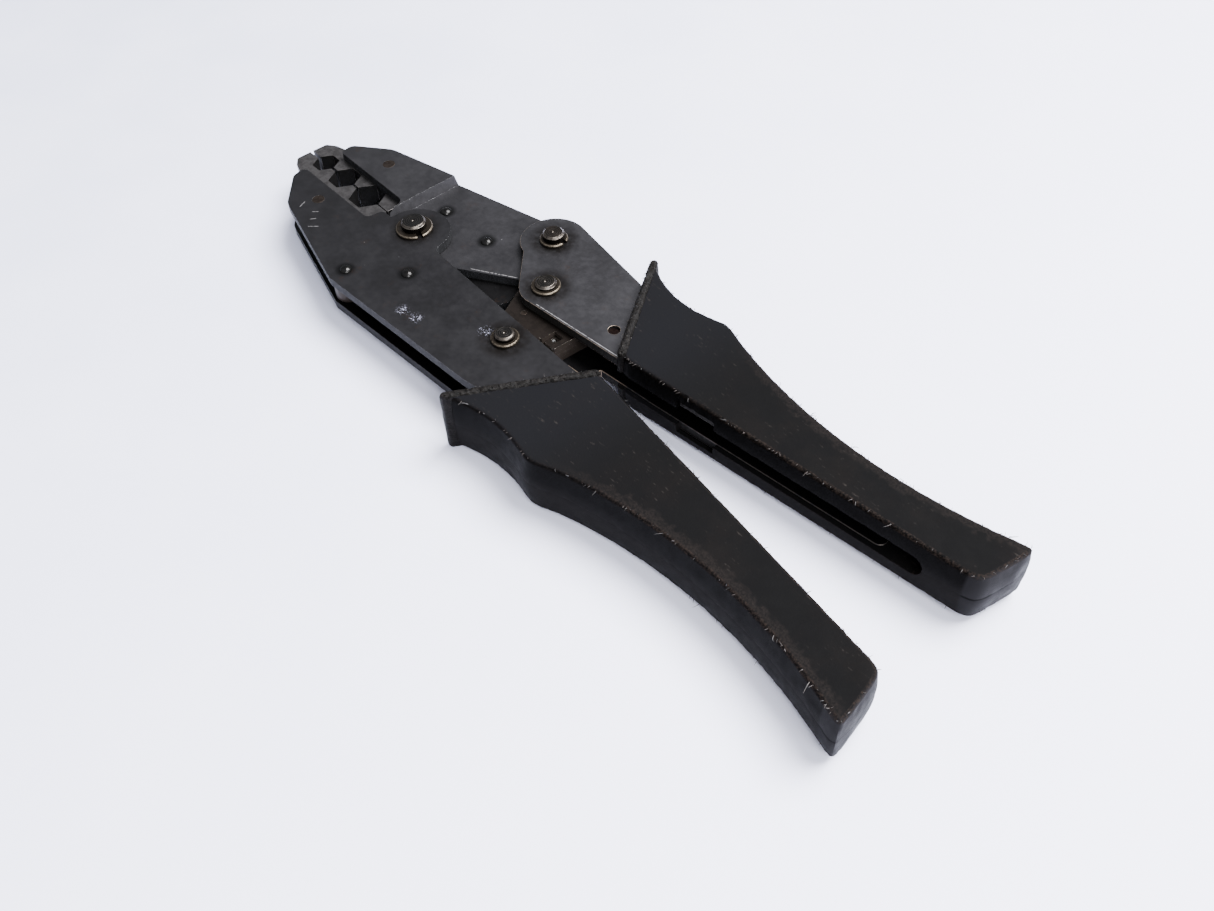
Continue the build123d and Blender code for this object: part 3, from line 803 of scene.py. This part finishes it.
def moulded(loop, half_at, bow, edge, seam):
    """Moulding whose walls swell by bow at mid-height, with rounded edges and a parting seam."""
    side_steps = 5
    edge_steps = 4
    seam_half = 0.14
    # Each ring: its share of the height up to the rounded edge, a rise above that, and its inset.
    upper = [(0.0, 0.0, seam), (0.0, seam_half, 0.0)]
    upper += [(i / side_steps, 0.0, bow * (i / side_steps) ** 2) for i in range(1, side_steps + 1)]
    for i in range(1, edge_steps + 1):
        angle = pi / 2 * i / edge_steps
        upper.append((1.0, edge * sin(angle), bow + edge * (1 - cos(angle))))
    lower = [(-share, -rise, inset) for share, rise, inset in reversed(upper[1:])]
    inner = inward(loop)
    limits = room(loop, inner)
    rings = []
    for share, rise, inset in lower + upper:
        ring = []
        for point, normal, limit in zip(loop, inner, limits):
            place = point + normal * min(inset, limit)
            ring.append((place.x, place.y, MID_Z + share * (half_at(place.x) - edge) + rise))
        rings.append(ring)
    return stacked(rings)


def grip_half(x):
    """Half thickness of a grip, which is thinner towards its tip."""
    share = (x - COLLAR_X) / (TIP_X - COLLAR_X)
    return GRIP_HALF_COLLAR + (GRIP_HALF_TIP - GRIP_HALF_COLLAR) * share


def grip_outline(shape):
    """Outline at mid-height, with rounded corners: the scoop, the long outer arc and the inner side."""
    loop = arc(*shape["front"], OUTLINE_STEP) + arc(*shape["back"], OUTLINE_STEP)
    loop += [Vector(corner) for corner in shape["inner"]]
    loop = softened(evenly(loop, OUTLINE_STEP), CORNER_PASSES)
    return [point - normal * GRIP_BOW for point, normal in zip(loop, inward(loop))]


def rib_outline(shape):
    """Long loop with round ends."""
    quarter_steps = 6
    side_steps = 90
    start, end = (Vector(point) for point in shape["rib"])
    along = (end - start).normalized()
    across = Vector((-along.y, along.x))
    turns = [pi / 2 * i / quarter_steps for i in range(quarter_steps + 1)]
    shares = [i / side_steps for i in range(1, side_steps)]
    loop = []
    for side in (1, -1):
        edge = [start + (across * side * sin(a) - along * cos(a)) * RIB_HALF for a in turns]
        edge += [start.lerp(end, share) + across * side * RIB_HALF for share in shares]
        edge += [end + (across * side * cos(a) + along * sin(a)) * RIB_HALF for a in turns]
        loop += edge if side == 1 else edge[-2:0:-1]
    return loop


def slot_cutter():
    """Slot along the inner side, with a round end."""
    steps = 8
    rings = []
    for i in range(-steps, steps + 1):
        rise = SLOT_HALF * sin(pi / 2 * i / steps)
        end_x = SLOT_END_X - SLOT_HALF + sqrt(max(0.0, SLOT_HALF**2 - rise**2))
        outline = ((50, 6), (end_x, 6), (end_x, -16.5), (95, -17.5), (70, -21), (50, -24))
        rings.append([(x, y, MID_Z + rise) for x, y in outline])
    return stacked(rings)


def window_cutter():
    """Opening in the slot's lips that bares the edges of the two handle plates."""
    loop = [(WINDOW_X[0], 2), (WINDOW_X[1], 2), (WINDOW_X[1], -7.2), (WINDOW_X[0], -5.8)]
    return stacked([[(x, y, MID_Z + z) for x, y in loop] for z in (-WINDOW_HALF, WINDOW_HALF)])


def as_object(name, mesh):
    data = bpy.data.meshes.new(name)
    mesh.to_mesh(data)
    mesh.free()
    piece = bpy.data.objects.new(name, data)
    bpy.context.scene.collection.objects.link(piece)
    return piece


def add_cut(result, base, cutters, slot):
    """Adds to result the base less its cutters, with its faces in one material slot."""
    piece = as_object("cut_base", base)
    tools = [as_object("cutter", cutter) for cutter in cutters]
    for tool in tools:
        modifier = piece.modifiers.new("cut", "BOOLEAN")
        modifier.operation = "DIFFERENCE"
        modifier.solver = "EXACT"
        modifier.object = tool
    bpy.context.view_layer.update()
    evaluated = piece.evaluated_get(bpy.context.evaluated_depsgraph_get())
    first = len(result.faces)
    result.from_mesh(evaluated.to_mesh())
    result.faces.ensure_lookup_table()
    for face in result.faces[first:]:
        face.material_index = slot
    for thing in (piece, *tools):
        bpy.data.objects.remove(thing)


def frayed(mesh):
    """Roughens the rounded edges and all of the rib, most of all its top."""
    edge_depth = 0.2
    rib_depth = 0.5
    rib_top_from = 2 * MID_Z - 2
    coarse, fine = 0.8, 2.1
    steepest, flattest = 0.1, 0.9
    mesh.normal_update()
    for vertex in mesh.verts:
        lump = abs(noise.noise(vertex.co * coarse) + 0.7 * noise.noise(vertex.co * fine))
        if vertex.link_faces[0].material_index == RIB_MATERIAL:
            high = vertex.co.z > rib_top_from
            vertex.co -= vertex.normal * lump * (rib_depth if high else edge_depth)
        elif steepest < abs(vertex.normal.z) < flattest:
            vertex.co -= vertex.normal * lump * edge_depth


def keep_within(mesh, box):
    """Moves points that are outside a box onto it."""
    for vertex in mesh.verts:
        for axis in range(3):
            vertex.co[axis] = min(max(vertex.co[axis], box[0][axis]), box[1][axis])


def to_frame(mirrored):
    """Matrix from millimetres about the main pivot to the frame, for either handle."""
    across = Matrix.Identity(4)
    if mirrored:
        turn = Matrix.Rotation(MIRROR_TURN, 4, "Z")
        flip = Matrix.Diagonal((1, -1, 1, 1))
        across = Matrix.Translation(MIRROR_AT) @ turn @ flip @ Matrix.Translation(-MIRROR_AT)
    return Matrix.Translation((PIVOT.x, PIVOT.y, 0)) @ Matrix.Scale(MM, 4) @ across


def shade_by_angle(piece, angle):
    """Smooth shading that breaks at edges sharper than angle degrees."""
    mesh = bmesh.new()
    mesh.from_mesh(piece.data)
    for face in mesh.faces:
        face.smooth = True
    for edge in mesh.edges:
        edge.smooth = len(edge.link_faces) == 2 and edge.calc_face_angle() < radians(angle)
    mesh.to_mesh(piece.data)
    mesh.free()
    weighted = piece.modifiers.new("weighted_normals", "WEIGHTED_NORMAL")
    weighted.keep_sharp = True
    weighted.weight = 60


def on_rib(point, shape):
    """Whether a point in the drawing plane belongs to the collar rib."""
    start, end = (Vector(corner) for corner in shape["rib"])
    run = (end - start).normalized()
    reach = Vector((point.x, point.y)) - start
    return abs(run.x * reach.y - run.y * reach.x) < RIB_HALF * 1.05


def grip_finish(name, shape, in_frame):
    """The plastic, which is told where the outer rim runs."""
    centre = circle_centre(*shape["back"])
    radius = (centre - Vector(shape["back"][0])).length
    return grip_plastic(name, in_frame @ centre.to_3d(), radius * MM)


def make_grip(name, body, shape):
    """Grip and its collar rib in one piece, both open at the slot."""
    in_frame = to_frame(shape is MOVING_SHAPE)
    grip = moulded(grip_outline(shape), grip_half, GRIP_BOW, GRIP_EDGE, GRIP_SEAM)
    rib = moulded(rib_outline(shape), lambda x: MID_Z, RIB_BOW, RIB_EDGE, RIB_SEAM)
    mesh = bmesh.new()
    add_cut(mesh, grip, (slot_cutter(), window_cutter()), GRIP_MATERIAL)
    add_cut(mesh, rib, (slot_cutter(),), RIB_MATERIAL)
    frayed(mesh)
    mesh.transform(in_frame)
    keep_within(mesh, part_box(name))
    bmesh.ops.recalc_face_normals(mesh, faces=mesh.faces)
    piece = as_object(name + "_moulding", mesh)
    piece.data.materials.append(grip_finish(name + "_plastic", shape, in_frame))
    piece.data.materials.append(torn_plastic(name + "_rib_plastic"))
    shade_by_angle(piece, SHARP_ANGLE)
    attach(piece, body)
    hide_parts(name)


# ---- Springs ----

WIRE_R = 0.3
COIL_R = 1.5
HOOK_R = 1.9
LOOP_R = 1.65
COIL_PITCH = 0.68
HOOK_TURN = radians(235)
LOOP_TURN = 1.85 * pi
RETURN_HOOK_AT = (56.2, 0.4)
PAWL_HOOK_AT = (73.3, 13.0)


def spring_path(hook, post):
    """Upright hook, close coil and a flat loop round the post."""
    along = (post - hook).normalized()
    up = Vector((0, 0, 1))
    side = along.cross(up)
    per_turn = 14
    path = []
    for i in range(per_turn):
        angle = HOOK_TURN * (i / per_turn - 1)
        path.append(hook + (along * cos(angle) + up * sin(angle)) * HOOK_R * MM)
    start = hook + along * (HOOK_R + 2 * WIRE_R) * MM
    end = post - along * (LOOP_R + 2 * WIRE_R) * MM
    steps = round((end - start).length / (COIL_PITCH * MM)) * per_turn
    for i in range(steps + 1):
        angle = pi / 2 + 2 * pi * i / per_turn
        path.append(start.lerp(end, i / steps) + (up * sin(angle) + side * cos(angle)) * COIL_R * MM)
    for i in range(1, per_turn + 1):
        angle = LOOP_TURN * i / per_turn
        path.append(post + (side * sin(angle) - along * cos(angle)) * LOOP_R * MM)
    return path


def make_spring(name, hook, post, material):
    """Round wire along the spring's path, from its hook to the loop round its post."""
    curve = bpy.data.curves.new(name + "_wire", "CURVE")
    curve.dimensions = "3D"
    curve.bevel_depth = WIRE_R * MM
    curve.bevel_resolution = 2
    curve.use_fill_caps = True
    path = spring_path(hook, post)
    line = curve.splines.new("POLY")
    line.points.add(len(path) - 1)
    for point, place in zip(line.points, path):
        point.co = (*place, 1)
    line.use_smooth = True
    source = bpy.data.objects.new(name + "_source", curve)
    bpy.context.scene.collection.objects.link(source)
    bpy.context.view_layer.update()
    evaluated = source.evaluated_get(bpy.context.evaluated_depsgraph_get())
    piece = bpy.data.objects.new(name + "_coil", bpy.data.meshes.new_from_object(evaluated))
    bpy.data.objects.remove(source)
    bpy.context.scene.collection.objects.link(piece)
    piece.data.materials.clear()
    piece.data.materials.append(material)
    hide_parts(name)
    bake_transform(piece)


def make_springs():
    wire = plain_steel("spring_wire", (0.2, 0.19, 0.18), (0.6, 0.6, 0.58), 0.25, 0.8, 0.9)
    posts = centre_of("return_spring_post"), centre_of("pawl_spring_post")
    make_spring("return_spring", at(*RETURN_HOOK_AT), posts[0], wire)
    make_spring("pawl_spring", at(*PAWL_HOOK_AT), posts[1], wire)


# ---- Torn slivers on the grips' edges ----

EDGE_SLIVERS = 170
RIB_SLIVERS = 70
SLIVER_LOWEST = 1.5


def sliver(mesh, root, direction, length, radius, bend):
    """Thin curved splinter that tapers to a point."""
    steps = 4
    sides = 4
    axis = direction.normalized()
    across = axis.orthogonal().normalized()
    other = axis.cross(across)
    rings = []
    for i in range(steps):
        share = i / steps
        middle = root + axis * length * share + bend * length * share * share
        width = radius * (1 - share * 0.7)
        ring = []
        for k in range(sides):
            angle = 2 * pi * k / sides
            ring.append(mesh.verts.new(middle + (across * cos(angle) + other * sin(angle)) * width))
        rings.append(ring)
    tip = mesh.verts.new(root + axis * length + bend * length)
    for low, high in zip(rings, rings[1:]):
        for k in range(sides):
            mesh.faces.new((low[k], low[(k + 1) % sides], high[(k + 1) % sides], high[k]))
    for k in range(sides):
        mesh.faces.new((rings[-1][k], rings[-1][(k + 1) % sides], tip))
    mesh.faces.new(reversed(rings[0]))


def sideways(random, reach):
    """Random level vector, up to reach each way."""
    return Vector((random.uniform(-reach, reach), random.uniform(-reach, reach), 0))


def curl(random, lowest, highest):
    """Random bend that rises between lowest and highest."""
    return Vector((random.uniform(-0.5, 0.5), random.uniform(-0.5, 0.5), random.uniform(lowest, highest)))


def add_edge_slivers(mesh, shape, random):
    """Splinters along a grip's rims, most of them on the upper one; one in ten is long."""
    loop = grip_outline(shape)
    outward = [-normal for normal in inward(loop)]
    for _ in range(EDGE_SLIVERS):
        i = random.randrange(len(loop))
        if on_rib(loop[i], shape):
            continue
        side = 1 if random.random() < 0.8 else -1
        height = MID_Z + side * (grip_half(loop[i].x) - random.uniform(0.1, 0.35))
        inset = random.uniform(0.7, 1.15)
        root = Vector((*(loop[i] - outward[i] * inset), height))
        lean = Vector((*outward[i], side * random.uniform(0.0, 0.9)))
        lean += sideways(random, 1.2)
        length = random.uniform(0.5, 1.0) if random.random() < 0.9 else random.uniform(1.2, 2.2)
        bend = curl(random, -0.4, 0.1)
        sliver(mesh, root, lean, length, random.uniform(0.05, 0.12), bend)


def add_rib_slivers(mesh, shape, random):
    """Short fuzz round the top of a grip's collar rib."""
    loop = rib_outline(shape)
    outward = [-normal for normal in inward(loop)]
    top = 2 * MID_Z
    for _ in range(RIB_SLIVERS):
        i = random.randrange(len(loop))
        height = random.uniform(top - 1.6, top - 0.7)
        root = Vector((*(loop[i] - outward[i] * 0.35), height))
        lean = Vector((*outward[i], random.uniform(-0.2, 0.3)))
        lean += sideways(random, 1.0)
        bend = curl(random, -0.5, -0.1)
        sliver(mesh, root, lean, random.uniform(0.4, 1.2), random.uniform(0.04, 0.1), bend)


def make_slivers(name, body, shape, seed):
    random = Random(seed)
    mesh = bmesh.new()
    add_edge_slivers(mesh, shape, random)
    add_rib_slivers(mesh, shape, random)
    for vertex in mesh.verts:
        vertex.co.z = max(vertex.co.z, SLIVER_LOWEST)
    mesh.transform(to_frame(shape is MOVING_SHAPE))
    keep_within(mesh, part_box(name))
    bmesh.ops.recalc_face_normals(mesh, faces=mesh.faces)
    piece = as_object(name + "_slivers", mesh)
    piece.data.materials.append(sliver_plastic(name + "_sliver_plastic"))
    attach(piece, body)


# Grip, its body, its shape and the seed of its slivers.
GRIPS = (
    ("fixed_grip", "fixed_frame", FIXED_SHAPE, 11),
    ("moving_grip", "moving_handle", MOVING_SHAPE, 23),
)

make_camera()
make_floor()
make_light()
dress_plates()
dress_dies()
dress_small_pins()
dress_ratchet()
dress_pivots()
make_springs()
for name, body, shape, seed in GRIPS:
    make_grip(name, body, shape)
    make_slivers(name, body, shape, seed)
